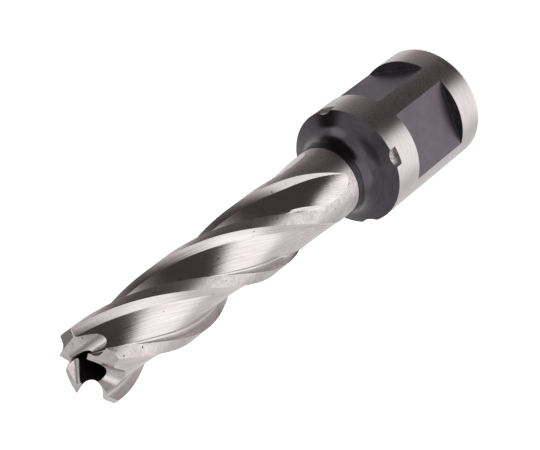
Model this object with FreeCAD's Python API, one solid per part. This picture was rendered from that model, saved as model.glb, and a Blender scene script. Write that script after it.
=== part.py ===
import FreeCAD, Part
import math
import os

# Annular cutter, one piece of high speed steel, standing on its shank end with the teeth up.
# The origin is the centre of the shank's end face and +Z runs along the axis to the teeth.
# The two drive flats face +X and +Y. Lengths are millimetres and angles are degrees.

# Shank
shank_radius = 9.525
shank_chamfer = 1.0
flat_start = 5.7
flat_length = 12.8
flat_from_axis = 7.85
flat_corner_radius = 0.15
drive_flats = 2
front_land = 5.6

# Collar, turned down in a hollow curve from the shank to the cutter body
collar_length = 5.4
collar_face_width = 1.5
collar_face_rise = 0.8
collar_hollow_radius = 3.6
neck_radius = 5.9
nicks = 4
nick_angle = 4.0
nick_depth = 0.55
nick_length = 1.3
nick_wheel_radius = 2.6

# Bore
bore_radius = 2.4
bore_chamfer = 0.8

# Cutter body
cutter_radius = 5.8
body_length = 57.4

# Teeth; a tooth's own frame has its x axis outwards and its y axis in the direction of cutting
teeth = 4
first_tooth_angle = 36.6
datum_below_point = 0.9
point_radius = 4.22
point_lead = 0.84
outer_bevel = 28.0
inner_bevel = 12.5
relief = 23.0
heel_relief = 37.0
heel_relief_start = 2.45

# Flutes, right-handed; their angles are measured from the x axis of the tooth behind them
flute_lead = 77.0
edge_angle = -2.0
wall_foot_angle = -5.3
wall_foot_radius = 4.8
wall_corner_angle = -4.6
wall_corner_radius = 4.37
web_angle = 6.0
web_radius = 4.25
floor_angle = 26.0
floor_radius = 4.75
heel_angle = 45.0
heel_radius = 5.5
margin_angle = 68.7
section_spacing = 3.0
runout_start = 7.4
runout_slope = 0.18
runout_length = 7.0
runout_drift = 5.0

# Gashes, ground between the teeth into the bore; they turn and drop from the x axis of the tooth
# behind, and the centre of their round corner is across and above the axis at the datum
gash_turn = -14.3
gash_drop = 38.0
gash_corner_radius = 1.48
gash_corner_across = 2.67
gash_corner_height = 1.2
gash_rake = 22.0
gash_flank = 35.5
gash_reach = 18.0

# Places along the axis that follow from the sizes above
flat_end = flat_start + flat_length
rim = flat_end + front_land
root = rim + collar_length
point = root + body_length
datum = point - datum_below_point
pitch = 360 / teeth

# The free space that a cutting tool is given beyond the metal
over = 1.0
runout_clearance = 0.3

# The angle at which the grinding of one tooth's end stops and the next one's starts
sector_start = -60.0

Z = FreeCAD.Vector(0, 0, 1)
ORIGIN = FreeCAD.Vector(0, 0, 0)


def polar(radius, angle, height):
    turn = math.radians(angle)
    return FreeCAD.Vector(radius * math.cos(turn), radius * math.sin(turn), height)


def line(start, end):
    return Part.LineSegment(start, end).toShape()


def arc(start, middle, end):
    return Part.Arc(start, middle, end).toShape()


def collar_hollow():
    """The concave arc of the collar's outline, from its front face down to the neck."""
    top_radius = shank_radius - collar_face_width
    top_height = rim + collar_face_rise
    centre_radius = neck_radius + collar_hollow_radius
    reach = centre_radius - top_radius
    centre_height = top_height + math.sqrt(collar_hollow_radius**2 - reach**2)
    start_turn = math.atan2(top_height - centre_height, top_radius - centre_radius)
    middle_turn = (start_turn - math.pi) / 2
    start = FreeCAD.Vector(top_radius, 0, top_height)
    middle = FreeCAD.Vector(
        centre_radius + collar_hollow_radius * math.cos(middle_turn),
        0,
        centre_height + collar_hollow_radius * math.sin(middle_turn),
    )
    end = FreeCAD.Vector(neck_radius, 0, centre_height)
    return start, middle, end


def turned_blank():
    """The bar as it leaves the lathe: shank, hollow collar, neck and plain cutter body."""
    hollow_start, hollow_middle, hollow_end = collar_hollow()
    outline = [
        ORIGIN,
        FreeCAD.Vector(shank_radius - shank_chamfer, 0, 0),
        FreeCAD.Vector(shank_radius, 0, shank_chamfer),
        FreeCAD.Vector(shank_radius, 0, flat_start),
        FreeCAD.Vector(shank_radius, 0, flat_end),
        FreeCAD.Vector(shank_radius, 0, rim),
        hollow_start,
    ]
    edges = [line(a, b) for a, b in zip(outline, outline[1:])]
    edges.append(arc(hollow_start, hollow_middle, hollow_end))
    front = [
        hollow_end,
        FreeCAD.Vector(neck_radius, 0, root),
        FreeCAD.Vector(cutter_radius, 0, root),
        FreeCAD.Vector(cutter_radius, 0, point),
        FreeCAD.Vector(0, 0, point),
        ORIGIN,
    ]
    edges += [line(a, b) for a, b in zip(front, front[1:])]
    return Part.Face(Part.Wire(edges)).revolve(ORIGIN, Z, 360)


def bore():
    """The through bore for the pilot pin, with a chamfered mouth in the shank's end."""
    hole = Part.makeCylinder(bore_radius, point + 2 * over, FreeCAD.Vector(0, 0, -over))
    mouth = Part.makeCone(bore_radius + bore_chamfer, bore_radius, bore_chamfer)
    return hole.fuse(mouth)


def drive_flat(angle):
    """The slab that leaves one ground drive flat, with its square end walls."""
    slab = Part.makeBox(
        shank_radius,
        2 * shank_radius,
        flat_length,
        FreeCAD.Vector(flat_from_axis, -shank_radius, flat_start),
    )
    inner_face = min(slab.Faces, key=lambda face: face.CenterOfMass.x)
    across = [edge for edge in inner_face.Edges if edge.Length > flat_length]
    slab = slab.makeFillet(flat_corner_radius, across)
    slab.rotate(ORIGIN, Z, angle)
    return slab


def rim_nick(angle):
    """The small round-bottomed nick ground across the corner of the rim."""
    wheel = Part.makeCylinder(
        nick_wheel_radius,
        nick_length + over,
        FreeCAD.Vector(shank_radius - nick_depth + nick_wheel_radius, 0, rim - nick_length),
    )
    wheel.rotate(ORIGIN, Z, angle)
    return wheel


def section_point(radius, angle, height):
    """A point of the flute's section at its full depth; the section turns with the lead."""
    turn = (height - datum) * 360 / flute_lead
    return polar(radius, first_tooth_angle + turn + angle, height)


def fading_point(radius, angle, height, drift):
    """A point of the flute's section that leaves the body, drifting ahead, at the run-out."""
    end = root + runout_start - runout_slope * angle
    share = min(max((height - end) / runout_length, 0.0), 1.0)
    rise = 1 - math.sin(share * math.pi / 2)
    clear = cutter_radius + runout_clearance
    return section_point(radius + (clear - radius) * rise, angle + drift * rise, height)


def flute_section(height):
    """The outline that the flute's wheel sweeps at one height, closed outside the body."""
    edge = section_point(cutter_radius, edge_angle, height)
    wall_top = edge + edge - section_point(wall_foot_radius, wall_foot_angle, height)
    wall_foot = fading_point(wall_foot_radius, wall_foot_angle, height, runout_drift)
    corner = fading_point(wall_corner_radius, wall_corner_angle, height, runout_drift)
    web = fading_point(web_radius, web_angle, height, runout_drift)
    floor = fading_point(floor_radius, floor_angle, height, 0)
    heel = fading_point(heel_radius, heel_angle, height, 0)
    margin = section_point(cutter_radius, margin_angle, height)
    heel_top = margin + (margin - section_point(heel_radius, heel_angle, height)) / 2
    outside = section_point(cutter_radius + 3 * over, margin_angle / 2, height)
    return Part.Wire(
        [
            line(wall_top, wall_foot),
            arc(wall_foot, corner, web),
            arc(web, floor, heel),
            line(heel, heel_top),
            arc(heel_top, outside, wall_top),
        ]
    )


def flute():
    """One helical flute from beyond the teeth to its run-out above the collar."""
    length = point + 2 * over - root
    count = math.ceil(length / section_spacing)
    sections = [flute_section(root + length / count * number) for number in range(count + 1)]
    return Part.makeLoft(sections, True, False)


def half_space(place, across, back):
    """A block whose underside is a plane through place, sloped in the tooth's own frame."""
    size = 4 * cutter_radius
    block = Part.makeBox(size, size, size, FreeCAD.Vector(-size / 2, -size / 2, 0))
    normal = FreeCAD.Vector(math.tan(math.radians(across)), -math.tan(math.radians(back)), 1)
    block.Placement = FreeCAD.Placement(place, FreeCAD.Rotation(Z, normal))
    return block


def tooth_end(number):
    """What is ground off the end of one tooth: outer bevel, inner bevel and heel relief."""
    tip = FreeCAD.Vector(math.sqrt(point_radius**2 - point_lead**2), point_lead, point)
    outer_fall = (cutter_radius - tip.x) * math.tan(math.radians(outer_bevel))
    relief_fall = (heel_relief_start + point_lead) * math.tan(math.radians(relief))
    heel = FreeCAD.Vector(cutter_radius, -heel_relief_start, point - outer_fall - relief_fall)
    waste = half_space(tip, outer_bevel, relief)
    waste = waste.fuse(half_space(tip, -inner_bevel, relief))
    waste = waste.fuse(half_space(heel, outer_bevel, heel_relief))
    sector = Part.makeCylinder(2 * cutter_radius, 3 * cutter_radius, ORIGIN, Z, pitch)
    sector.rotate(ORIGIN, Z, sector_start)
    sector.translate(FreeCAD.Vector(0, 0, point - 1.5 * cutter_radius))
    waste = waste.common(sector)
    waste.rotate(ORIGIN, Z, first_tooth_angle + pitch * number)
    return waste


def gash(number):
    """The channel between two teeth: an undercut rake wall, a round corner and a sloping flank."""
    rake = math.radians(gash_rake)
    flank = math.radians(gash_flank)
    centre = FreeCAD.Vector(0, gash_corner_across, gash_corner_height)
    wall_way = FreeCAD.Vector(0, math.sin(rake), math.cos(rake))
    flank_way = FreeCAD.Vector(0, math.cos(flank), math.sin(flank))
    wall_start = centre + FreeCAD.Vector(0, -wall_way.z, wall_way.y) * gash_corner_radius
    flank_start = centre + FreeCAD.Vector(0, flank_way.z, -flank_way.y) * gash_corner_radius
    middle_way = (wall_start - centre) + (flank_start - centre)
    middle_way.normalize()
    bottom = centre + middle_way * gash_corner_radius
    wall_end = wall_start + wall_way * gash_reach
    flank_end = flank_start + flank_way * gash_reach
    profile = Part.Wire(
        [
            line(wall_end, wall_start),
            arc(wall_start, bottom, flank_start),
            line(flank_start, flank_end),
            line(flank_end, wall_end),
        ]
    )
    channel = Part.Face(profile).extrude(FreeCAD.Vector(gash_reach, 0, 0))
    channel.translate(FreeCAD.Vector(-gash_reach / 2, 0, 0))
    channel.rotate(ORIGIN, FreeCAD.Vector(0, 1, 0), gash_drop)
    channel.rotate(ORIGIN, Z, gash_turn + first_tooth_angle + pitch * number)
    channel.translate(FreeCAD.Vector(0, 0, datum))
    return channel


def annular_cutter():
    cutter = turned_blank()
    first_flute = flute()
    for number in range(teeth):
        next_flute = first_flute.copy()
        next_flute.rotate(ORIGIN, Z, pitch * number)
        cutter = cutter.cut(next_flute)
    for number in range(drive_flats):
        cutter = cutter.cut(drive_flat(90 * number))
    for number in range(nicks):
        cutter = cutter.cut(rim_nick(nick_angle + 360 / nicks * number))
    for number in range(teeth):
        cutter = cutter.cut(gash(number))
        cutter = cutter.cut(tooth_end(number))
    return cutter.cut(bore())


os.makedirs("parts", exist_ok=True)
cutter = annular_cutter()
cutter.exportStep("parts/annular_cutter.step")
print("annular_cutter:", len(cutter.Solids), "solid, volume", round(cutter.Volume, 1), "mm3")
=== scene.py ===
import math
from collections import namedtuple

import bmesh
import bpy
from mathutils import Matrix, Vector
from mathutils.bvhtree import BVHTree


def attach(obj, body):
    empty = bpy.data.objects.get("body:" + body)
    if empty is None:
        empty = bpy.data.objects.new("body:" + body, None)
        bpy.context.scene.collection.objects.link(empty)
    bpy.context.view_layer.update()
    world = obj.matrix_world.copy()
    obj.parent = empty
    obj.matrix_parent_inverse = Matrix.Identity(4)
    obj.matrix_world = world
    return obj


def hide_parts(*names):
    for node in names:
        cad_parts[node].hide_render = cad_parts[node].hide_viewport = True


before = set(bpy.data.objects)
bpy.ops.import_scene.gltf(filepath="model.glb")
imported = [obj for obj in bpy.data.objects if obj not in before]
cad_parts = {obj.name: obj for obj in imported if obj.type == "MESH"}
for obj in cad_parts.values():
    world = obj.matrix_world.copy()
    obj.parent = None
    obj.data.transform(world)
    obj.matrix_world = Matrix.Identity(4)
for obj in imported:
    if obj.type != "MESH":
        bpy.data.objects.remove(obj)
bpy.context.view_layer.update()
for name in ("Cube", "Light", "Camera"):
    spare = bpy.data.objects.get(name)
    if spare:
        bpy.data.objects.remove(spare)
scene = bpy.context.scene

# Camera
# A long lens looks down on the teeth from the side of the two drive flats, rolled so that the
# cutter lies across the picture with its teeth at the lower left.
MM = 0.001
CAMERA_PLACE = (196.106, 90.947, 241.341)
CAMERA_TURN = (-34.017, 35.601, -24.400)
camera_data = bpy.data.cameras.new("camera")
camera_data.lens = 133.333
camera_data.sensor_width = 36.0
camera_data.clip_start = 0.01
camera = bpy.data.objects.new("camera", camera_data)
camera.location = Vector(CAMERA_PLACE) * MM
camera.rotation_euler = [math.radians(angle) for angle in CAMERA_TURN]
scene.collection.objects.link(camera)
scene.camera = camera

# Bar
# The bar of high speed steel as its solid has it: turned shank, collar and body, with the drive
# flats, nicks, gashes and bore. Where the flutes run, the body is first made round again, so that
# they can be ground to their whole depth. Sizes are in millimetres, and heights from the shank end.
BODY_RADIUS = 5.8
SKIN = 0.003
BODY_LOW = 29.55
BODY_HIGH = 62.0
BORE_WALL = 2.45
BODY_SIDES = 256


def polar(radius, angle):
    """A point across the axis from its radius and its angle in degrees."""
    turn = math.radians(angle)
    return Vector((radius * math.cos(turn), radius * math.sin(turn)))


def placed(name, mesh):
    """The mesh as an object of the scene."""
    made = bpy.data.objects.new(name, mesh)
    scene.collection.objects.link(made)
    return made


def mark(mesh, name):
    """Marks the faces of a mesh, so that they can be told apart after the cuts."""
    mesh.materials.clear()
    mesh.materials.append(bpy.data.materials.new(name))


def add_step(name, operation, other):
    """One step on the cutter: a union with, or a cut by, another closed mesh."""
    step = cutter.modifiers.new(name, "BOOLEAN")
    step.operation = operation
    step.solver = "EXACT"
    step.material_mode = "TRANSFER"
    step.object = other


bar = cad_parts["annular_cutter"]
cutter = placed("cutter", bar.data.copy())
weld = bmesh.new()
weld.from_mesh(cutter.data)
bmesh.ops.remove_doubles(weld, verts=weld.verts, dist=1e-7)
weld.to_mesh(cutter.data)
weld.free()
mark(cutter.data, "bar_surface")

body_corners = (
    (BODY_RADIUS + SKIN, BODY_LOW),
    (BODY_RADIUS + SKIN, BODY_HIGH),
    (BORE_WALL, BODY_HIGH),
    (BORE_WALL, BODY_LOW),
)
body_points = [
    (polar(radius, 360 * side / BODY_SIDES).to_3d() + Vector((0, 0, height))) * MM
    for radius, height in body_corners
    for side in range(BODY_SIDES)
]
body_faces = []
for corner in range(4):
    this_ring = corner * BODY_SIDES
    next_ring = (corner + 1) % 4 * BODY_SIDES
    for side in range(BODY_SIDES):
        beside = (side + 1) % BODY_SIDES
        body_faces.append((this_ring + side, this_ring + beside, next_ring + beside, next_ring + side))
body_mesh = bpy.data.meshes.new("round_body")
body_mesh.from_pydata(body_points, [], body_faces)
mark(body_mesh, "body_surface")
round_body = placed("round_body", body_mesh)
add_step("body", "UNION", round_body)

# Flutes
# The four helical flutes of the body, ground with a round wheel that leaves a steep heel behind
# each land and a thin web round the bore, and that runs out in a long sweep above the collar.
# The section's angles are in degrees from the tooth behind the flute.
FLUTES = 4
FIRST_TOOTH = 36.6
TOOTH_HEIGHT = 86.0
LEAD = 77.0
FLUTE_LOW = 29.5
FLUTE_HIGH = 89.5
SLICE = 0.4
CORNER_STEPS = 8
FLOOR_STEPS = 24
OUTSIDE_STEPS = 6
OUTSIDE = 3.0
EXIT_SLOPE = 0.04
DRIFT = 5.0
Fading = namedtuple("Fading", "radius angle exit_height fade drift")
EDGE = polar(5.8, -2.3)
FOOT = Fading(radius=4.80, angle=-5.7, exit_height=38.4, fade=8.0, drift=DRIFT)
CORNER = Fading(radius=4.34, angle=-5.0, exit_height=38.4, fade=9.0, drift=DRIFT)
WEB = Fading(radius=4.15, angle=3.0, exit_height=37.4, fade=12.0, drift=DRIFT)
FLOOR = Fading(radius=4.10, angle=27.0, exit_height=33.4, fade=15.0, drift=0.0)
HEEL = Fading(radius=4.76, angle=58.8, exit_height=31.2, fade=11.0, drift=0.0)
MARGIN_ANGLE = 69.0


def at_height(size, height):
    """A point of the section, which lifts out of the body and drifts ahead at the run-out."""
    depth = min(max((height - size.exit_height) / size.fade, 0.0), 1.0) ** 1.5
    lift = 1 - depth * depth * (3 - 2 * depth)
    surface = BODY_RADIUS + EXIT_SLOPE * (size.exit_height - height)
    return polar(size.radius + (surface - size.radius) * lift, size.angle + size.drift * lift)


def arc(start, middle, end, steps):
    """Points along the arc through three points."""
    to_middle, to_end = middle - start, end - start
    cross = 2 * (to_middle.x * to_end.y - to_middle.y * to_end.x)
    centre = start + Vector((
        to_end.y * to_middle.length_squared - to_middle.y * to_end.length_squared,
        to_middle.x * to_end.length_squared - to_end.x * to_middle.length_squared,
    )) / cross
    first, via, last = (
        math.atan2(point.y - centre.y, point.x - centre.x) for point in (start, middle, end)
    )
    sweep = (last - first) % math.tau
    if (via - first) % math.tau > sweep:
        sweep -= math.tau
    radius = (start - centre).length
    turns = [first + sweep * step / steps for step in range(steps + 1)]
    return [centre + radius * Vector((math.cos(turn), math.sin(turn))) for turn in turns]


def section(height):
    """The waste of one flute at a height, as runs of points; each run is one smooth surface."""
    foot = at_height(FOOT, height)
    web = at_height(WEB, height)
    heel = at_height(HEEL, height)
    margin = polar(BODY_RADIUS, MARGIN_ANGLE)
    wall_top = EDGE + EDGE - polar(FOOT.radius, FOOT.angle)
    heel_top = margin + (margin - polar(HEEL.radius, HEEL.angle)) / 2
    outside = polar(BODY_RADIUS + OUTSIDE, MARGIN_ANGLE / 2)
    return [
        [wall_top, foot],
        arc(foot, at_height(CORNER, height), web, CORNER_STEPS),
        arc(web, at_height(FLOOR, height), heel, FLOOR_STEPS),
        [heel, heel_top],
        arc(heel_top, outside, wall_top, OUTSIDE_STEPS),
    ]


def on_cutter(point, height, flute):
    """A point of the section where the helix has it, in metres."""
    angle = math.radians(FIRST_TOOTH + (height - TOOTH_HEIGHT) * 360 / LEAD + 360 / FLUTES * flute)
    east, north = math.cos(angle), math.sin(angle)
    return Vector((east * point.x - north * point.y, north * point.x + east * point.y, height)) * MM


def surface_normal(flute, slice_number, run, step):
    """The direction that the flute's surface faces, from its neighbours along and across."""
    points = sections[slice_number][run]
    height = heights[slice_number]
    ahead = on_cutter(points[min(step + 1, len(points) - 1)], height, flute)
    behind = on_cutter(points[max(step - 1, 0)], height, flute)
    low, high = max(slice_number - 1, 0), min(slice_number + 1, slices)
    above = on_cutter(sections[high][run][step], heights[high], flute)
    below = on_cutter(sections[low][run][step], heights[low], flute)
    return (ahead - behind).cross(above - below).normalized()


slices = math.ceil((FLUTE_HIGH - FLUTE_LOW) / SLICE)
heights = [
    FLUTE_LOW + (FLUTE_HIGH - FLUTE_LOW) * number / slices for number in range(slices + 1)
]
sections = [section(height) for height in heights]
ring = sum(len(run) - 1 for run in sections[0])
waste_points = []
waste_sides = []
waste_ends = []
side_normals = []
for flute in range(FLUTES):
    base = len(waste_points)
    for height, runs in zip(heights, sections):
        for run in runs:
            waste_points += [on_cutter(point, height, flute) for point in run[:-1]]
    for slice_number in range(slices):
        column = 0
        for run in range(len(sections[0])):
            for step in range(len(sections[0][run]) - 1):
                near = base + slice_number * ring + column
                far = base + slice_number * ring + (column + 1) % ring
                near_low = surface_normal(flute, slice_number, run, step)
                far_low = surface_normal(flute, slice_number, run, step + 1)
                far_high = surface_normal(flute, slice_number + 1, run, step + 1)
                near_high = surface_normal(flute, slice_number + 1, run, step)
                waste_sides.append((near, far + ring, far))
                side_normals.append((near_low, far_high, far_low))
                waste_sides.append((near, near + ring, far + ring))
                side_normals.append((near_low, near_high, far_high))
                column += 1
    waste_ends.append([base + point for point in range(ring)])
    waste_ends.append([base + slices * ring + point for point in reversed(range(ring))])
waste_mesh = bpy.data.meshes.new("flute_waste")
waste_mesh.from_pydata(waste_points, [], waste_sides + waste_ends)
mark(waste_mesh, "flute_surface")
waste = placed("flute_waste", waste_mesh)
add_step("flutes", "DIFFERENCE", waste)

cut_mesh = bpy.data.meshes.new_from_object(
    cutter.evaluated_get(bpy.context.evaluated_depsgraph_get())
)
cutter.modifiers.clear()
cutter.data = cut_mesh
bpy.data.objects.remove(waste)
bpy.data.objects.remove(round_body)
bar_slot = cut_mesh.materials.find("bar_surface")
flute_slot = cut_mesh.materials.find("flute_surface")
body_slot = cut_mesh.materials.find("body_surface")


def corner_shares(point, first, second, third):
    """How much of each corner of a triangle a point on it holds."""
    along, across, inward = second - first, third - first, point - first
    size = along.dot(along) * across.dot(across) - along.dot(across) ** 2
    if size == 0:
        return 1.0, 0.0, 0.0
    of_second = across.dot(across) * inward.dot(along) - along.dot(across) * inward.dot(across)
    of_third = along.dot(along) * inward.dot(across) - along.dot(across) * inward.dot(along)
    return 1 - (of_second + of_third) / size, of_second / size, of_third / size


# The cuts leave flat faces. Each gets back the smooth shading of the surface that it came from:
# the turned bar, the ground flute, or the round body.
Source = namedtuple("Source", "tree points faces normals")
bar.data.calc_loop_triangles()
bar_points = [vertex.co.copy() for vertex in bar.data.vertices]
bar_faces = [tuple(triangle.vertices) for triangle in bar.data.loop_triangles]
bar_normals = [
    tuple(bar.data.corner_normals[loop].vector.copy() for loop in triangle.loops)
    for triangle in bar.data.loop_triangles
]
sources = {
    bar_slot: Source(
        BVHTree.FromPolygons(bar_points, bar_faces), bar_points, bar_faces, bar_normals
    ),
    flute_slot: Source(
        BVHTree.FromPolygons(waste_points, waste_sides), waste_points, waste_sides, side_normals
    ),
}
INWARD = 0.02
corner_normals = [Vector((0, 0, 1))] * len(cut_mesh.loops)
for face in cut_mesh.polygons:
    for loop in face.loop_indices:
        corner = cut_mesh.vertices[cut_mesh.loops[loop].vertex_index].co
        if face.material_index == body_slot:
            corner_normals[loop] = Vector((corner.x, corner.y, 0)).normalized()
            continue
        source = sources[face.material_index]
        spot, facing, hit, distance = source.tree.find_nearest(corner.lerp(face.center, INWARD))
        shares = corner_shares(spot, *(source.points[point] for point in source.faces[hit]))
        normal = Vector()
        for share, direction in zip(shares, source.normals[hit]):
            normal += direction * share
        corner_normals[loop] = normal.normalized()
cut_mesh.normals_split_custom_set(corner_normals)
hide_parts("annular_cutter")
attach(cutter, "root")

# Surfaces
# The steel keeps its black heat scale where no wheel has touched it, and is bright where it is
# ground. Each face gets the finish that its wheel or its scale leaves. Heights are in millimetres
# from the shank end, and colours are from a finish's dark to its light.
SHANK_TOP = 24.1
CUT_RADIUS = 9.45
FLATS = (5.6, 18.6)
NICK_ANGLES = (4, 94, 184, 274)
NICK_HALF_ANGLE = 14
NICK_LOW = 22.7
NICK_HIGH = 25.0
COLLAR_TOP = 28.1
NECK_TOP = 29.6
LAND_RADIUS = 5.6
BORE_RADIUS = 2.5
BORE_MOUTH_RADIUS = 3.2
BORE_MOUTH_DEPTH = 0.9


def finish_of(face):
    """The name of the finish that a face of the cutter has, from where it lies."""
    x, y, height = face.center / MM
    radius = math.hypot(x, y)
    angle = math.degrees(math.atan2(y, x))
    tilt = abs(face.normal.z)
    from_nick = min(abs((angle - nick + 180) % 360 - 180) for nick in NICK_ANGLES)
    in_mouth = height < BORE_MOUTH_DEPTH and radius < BORE_MOUTH_RADIUS and tilt < 0.99
    if face.material_index == flute_slot:
        return "flute"
    if radius < BORE_RADIUS or in_mouth:
        return "bore"
    if height < SHANK_TOP and radius < CUT_RADIUS:
        if height > NICK_LOW and from_nick < NICK_HALF_ANGLE:
            return "nick"
        if FLATS[0] < height < FLATS[1]:
            return "flat_wall" if tilt > 0.05 else "flat"
    if height < SHANK_TOP:
        return "shank"
    if height < NICK_HIGH and tilt < 0.1 and radius < CUT_RADIUS:
        return "nick"
    if height < COLLAR_TOP:
        return "collar"
    if height < NECK_TOP:
        return "neck"
    if radius > LAND_RADIUS and tilt < 0.3:
        return "land"
    return "tooth_end"


def feed(made, key, value):
    """Gives an input of a node a number, a colour or the output of another node."""
    if isinstance(value, bpy.types.NodeSocket):
        made.id_data.links.new(value, made.inputs[key])
    else:
        made.inputs[key].default_value = value


def node(tree, kind, settings=None, inputs=None):
    """A shader node with its settings and its inputs."""
    made = tree.nodes.new("ShaderNode" + kind)
    for name, value in (settings or {}).items():
        setattr(made, name, value)
    for key, value in (inputs or {}).items():
        feed(made, key, value)
    return made


def worked_out(tree, operation, *values):
    """The result of one sum on numbers or outputs."""
    sum_node = node(tree, "Math", {"operation": operation}, dict(enumerate(values)))
    return sum_node.outputs["Value"]


def place_on_cutter(tree):
    """The place on the cutter, in metres."""
    return node(tree, "TexCoord").outputs["Object"]


def place_along_flute(tree):
    """The place on the cutter with the twist of the flutes taken out, in metres."""
    place = place_on_cutter(tree)
    height = node(tree, "SeparateXYZ", inputs={"Vector": place}).outputs["Z"]
    angle = worked_out(tree, "MULTIPLY", height, -math.tau / (LEAD * MM))
    untwist = node(
        tree, "VectorRotate", {"rotation_type": "Z_AXIS"}, {"Vector": place, "Angle": angle}
    )
    return untwist.outputs["Vector"]


def grain(tree, place, per_mm, detail=3.0, rough=0.6):
    """Noise drawn out by its number of marks per millimetre along x, y and z, from 0 to 1."""
    scale = [marks / MM for marks in per_mm]
    drawn_out = node(tree, "Mapping", inputs={"Vector": place, "Scale": scale}).outputs["Vector"]
    noise = {"Vector": drawn_out, "Scale": 1.0, "Detail": detail, "Roughness": rough}
    return node(tree, "TexNoise", inputs=noise).outputs["Fac"]


def spread(tree, value, low, high, to_low, to_high):
    """A value taken from the range low..high to the range to_low..to_high."""
    limits = {"From Min": low, "From Max": high, "To Min": to_low, "To Max": to_high}
    return node(tree, "MapRange", inputs={"Value": value, **limits}).outputs["Result"]


def blend(tree, share, first, second):
    """A colour between two, where each is a colour or an output."""
    made = node(tree, "Mix", {"data_type": "RGBA"}, {"Factor": share})
    for key, colour in ((6, first), (7, second)):
        is_output = isinstance(colour, bpy.types.NodeSocket)
        feed(made, key, colour if is_output else (*colour, 1))
    return made.outputs[2]


PIT_COLOUR = (0.02, 0.018, 0.02)
PITS_PER_MM = (1.6, 1.6, 1.6)
PIT_START = 0.76
PIT_EDGE = 0.03
BUMP_HEIGHT = 0.01


def metal(name, dark, light, rough, marks, stains, place=place_on_cutter, pits=0.0, bump=0.25,
          metallic=1.0, specular=0.5):
    """Steel with drawn-out grinding marks, soft stains and, where pits is set, small dark pits."""
    material = bpy.data.materials.new(name)
    material.use_nodes = True
    tree = material.node_tree
    shader = tree.nodes["Principled BSDF"]
    shader.inputs["Metallic"].default_value = metallic
    shader.inputs["Specular IOR Level"].default_value = specular
    spot = place(tree)
    lines = grain(tree, spot, marks)
    stain = grain(tree, spot, stains, 4.0, 0.65)
    tone = worked_out(tree, "MULTIPLY_ADD", stain, 0.6, spread(tree, lines, 0.3, 0.7, 0.0, 0.4))
    colour = blend(tree, spread(tree, tone, 0.3, 0.7, 0.0, 1.0), dark, light)
    roughness = spread(tree, tone, 0.3, 0.7, rough[1], rough[0])
    height = spread(tree, lines, 0.3, 0.7, 0.0, 1.0)
    if pits:
        start = PIT_START - pits
        pit = spread(tree, grain(tree, spot, PITS_PER_MM, 2.0, 0.5), start, start + PIT_EDGE, 0.0, 1.0)
        colour = blend(tree, pit, colour, PIT_COLOUR)
        height = worked_out(tree, "SUBTRACT", height, pit)
    press = node(
        tree, "Bump", inputs={"Height": height, "Strength": bump, "Distance": BUMP_HEIGHT * MM}
    )
    feed(shader, "Base Color", colour)
    feed(shader, "Roughness", roughness)
    feed(shader, "Normal", press.outputs["Normal"])
    return material


finishes = {
    "flute": metal(
        "ground_flute", dark=(0.53, 0.49, 0.495), light=(0.69, 0.65, 0.655), rough=(0.16, 0.26),
        marks=(9.0, 9.0, 0.16), stains=(0.5, 0.5, 0.05), place=place_along_flute, pits=0.02, bump=0.6,
    ),
    "land": metal(
        "ground_land", dark=(0.42, 0.385, 0.39), light=(0.62, 0.58, 0.585), rough=(0.26, 0.42),
        marks=(2.0, 2.0, 9.0), stains=(0.6, 0.6, 0.5), pits=0.06,
    ),
    "shank": metal(
        "ground_shank", dark=(0.5, 0.465, 0.47), light=(0.62, 0.585, 0.59), rough=(0.22, 0.3),
        marks=(0.4, 0.4, 12.0), stains=(0.15, 0.15, 0.4),
    ),
    "flat": metal(
        "scaled_flat", dark=(0.115, 0.1, 0.114), light=(0.155, 0.138, 0.156), rough=(0.42, 0.5),
        marks=(6.0, 6.0, 6.0), stains=(0.3, 0.3, 0.3), bump=0.12,
    ),
    "flat_wall": metal(
        "scaled_wall", dark=(0.02, 0.018, 0.022), light=(0.05, 0.045, 0.052), rough=(0.5, 0.6),
        marks=(2.0, 2.0, 2.0), stains=(0.5, 0.5, 0.5), metallic=0.3, specular=0.15,
    ),
    "collar": metal(
        "black_collar", dark=(0.066, 0.06, 0.066), light=(0.088, 0.081, 0.089), rough=(0.16, 0.22),
        marks=(0.6, 0.6, 5.0), stains=(0.5, 0.5, 0.5), bump=0.05,
    ),
    "neck": metal(
        "black_neck", dark=(0.04, 0.036, 0.042), light=(0.07, 0.064, 0.074), rough=(0.25, 0.4),
        marks=(0.5, 0.5, 7.0), stains=(0.5, 0.5, 0.5),
    ),
    "nick": metal(
        "ground_nick", dark=(0.24, 0.22, 0.22), light=(0.54, 0.52, 0.51), rough=(0.25, 0.4),
        marks=(5.0, 5.0, 1.0), stains=(2.0, 2.0, 2.0), pits=0.1,
    ),
    "tooth_end": metal(
        "ground_tooth", dark=(0.42, 0.39, 0.395), light=(0.64, 0.6, 0.605), rough=(0.24, 0.36),
        marks=(8.0, 8.0, 2.0), stains=(0.8, 0.8, 0.8), pits=0.02,
    ),
    "bore": metal(
        "drilled_bore", dark=(0.05, 0.04, 0.042), light=(0.1, 0.085, 0.088), rough=(0.4, 0.5),
        marks=(1.0, 1.0, 8.0), stains=(0.5, 0.5, 0.5),
    ),
}
finish_names = list(finishes)
face_finishes = [finish_names.index(finish_of(face)) for face in cut_mesh.polygons]
cut_mesh.materials.clear()
for finish in finishes.values():
    cut_mesh.materials.append(finish)
cut_mesh.polygons.foreach_set("material_index", face_finishes)

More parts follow.
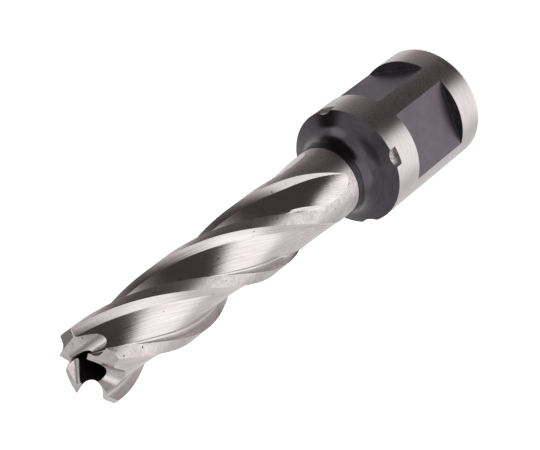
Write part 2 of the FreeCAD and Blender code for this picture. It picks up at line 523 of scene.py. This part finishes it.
# Floor
# A plain white table top that keeps the soft shadow of the cutter and is lifted to white where it
# is looked at. It is hidden from reflections, which look past it into the room, so the Is Glossy
# Ray input below has no effect: with the table in view the ground steel would mirror white.
FLOOR_HALF = 3.0
PAPER_WHITE = 0.9
PAPER_LIFT = 0.62
floor_mesh = bpy.data.meshes.new("floor")
floor_corners = [(-1, -1, 0), (1, -1, 0), (1, 1, 0), (-1, 1, 0)]
floor_mesh.from_pydata([Vector(corner) * FLOOR_HALF for corner in floor_corners], [], [(0, 1, 2, 3)])
floor = placed("floor", floor_mesh)
floor.visible_glossy = False
paper = bpy.data.materials.new("paper")
paper.use_nodes = True
tree = paper.node_tree
sheet = tree.nodes["Principled BSDF"]
sheet.inputs["Base Color"].default_value = (PAPER_WHITE, PAPER_WHITE, PAPER_WHITE, 1)
sheet.inputs["Roughness"].default_value = 0.9
sheet.inputs["Specular IOR Level"].default_value = 0.0
ray = node(tree, "LightPath")
seen = worked_out(tree, "MAXIMUM", ray.outputs["Is Camera Ray"], ray.outputs["Is Glossy Ray"])
seen = worked_out(tree, "MAXIMUM", seen, ray.outputs["Is Transmission Ray"])
lift = node(tree, "Emission", inputs={"Color": (1, 1, 1, 1), "Strength": PAPER_LIFT})
lifted = node(tree, "AddShader", inputs={0: sheet.outputs["BSDF"], 1: lift.outputs["Emission"]})
pick = node(
    tree, "MixShader", inputs={0: seen, 1: sheet.outputs["BSDF"], 2: lifted.outputs["Shader"]}
)
feed(tree.nodes["Material Output"], "Surface", pick.outputs["Shader"])
floor.data.materials.append(paper)

# Room
# A pale studio with soft lights low on the right, beside the camera and on the left, and dark gaps
# low and high on the left, over the camera and straight below. Patches under the horizon are seen
# in reflections alone, past the floor, and make the streaks of the steel. Angles are in degrees.
ROOM_LEVEL = 0.82
DARKEST = 0.06
DARK_TINT = (1, 0.85, 0.88)
BRIGHT_TINT = (1, 0.972, 0.978)
SOFT_START = 1.6
SOFT_END = 0.4
Patch = namedtuple("Patch", "azimuth elevation half_width gain")
PATCHES = (
    Patch(-22, -28, 30, 0.68),
    Patch(15, 22, 30, 0.3),
    Patch(106, 22, 15, 0.8),
    Patch(58, -35, 25, -0.85),
    Patch(88, -24, 21, -0.85),
    Patch(118, -28, 22, -0.65),
    Patch(142, 36, 12, -0.8),
    Patch(20, 54, 20, -0.6),
    Patch(0, -90, 18, -0.3),
)
room = bpy.data.worlds.new("room")
room.use_nodes = True
scene.world = room
tree = room.node_tree
way = node(tree, "TexCoord").outputs["Generated"]
level = ROOM_LEVEL
for patch in PATCHES:
    aside = polar(math.cos(math.radians(patch.elevation)), patch.azimuth)
    aim = (aside.x, aside.y, math.sin(math.radians(patch.elevation)))
    near = node(tree, "VectorMath", {"operation": "DOT_PRODUCT"}, {0: way, 1: aim}).outputs["Value"]
    edge = math.cos(math.radians(patch.half_width * SOFT_START))
    middle = math.cos(math.radians(patch.half_width * SOFT_END))
    added = node(
        tree, "MapRange", {"interpolation_type": "SMOOTHERSTEP"},
        {"Value": near, "From Min": edge, "From Max": middle, "To Max": patch.gain},
    )
    level = worked_out(tree, "ADD", level, added.outputs["Result"])
level = worked_out(tree, "MAXIMUM", level, DARKEST)
tint = blend(tree, spread(tree, level, 0.1, 0.8, 0.0, 1.0), DARK_TINT, BRIGHT_TINT)
feed(tree.nodes["Background"], "Strength", level)
feed(tree.nodes["Background"], "Color", tint)
scene.view_settings.view_transform = "Standard"
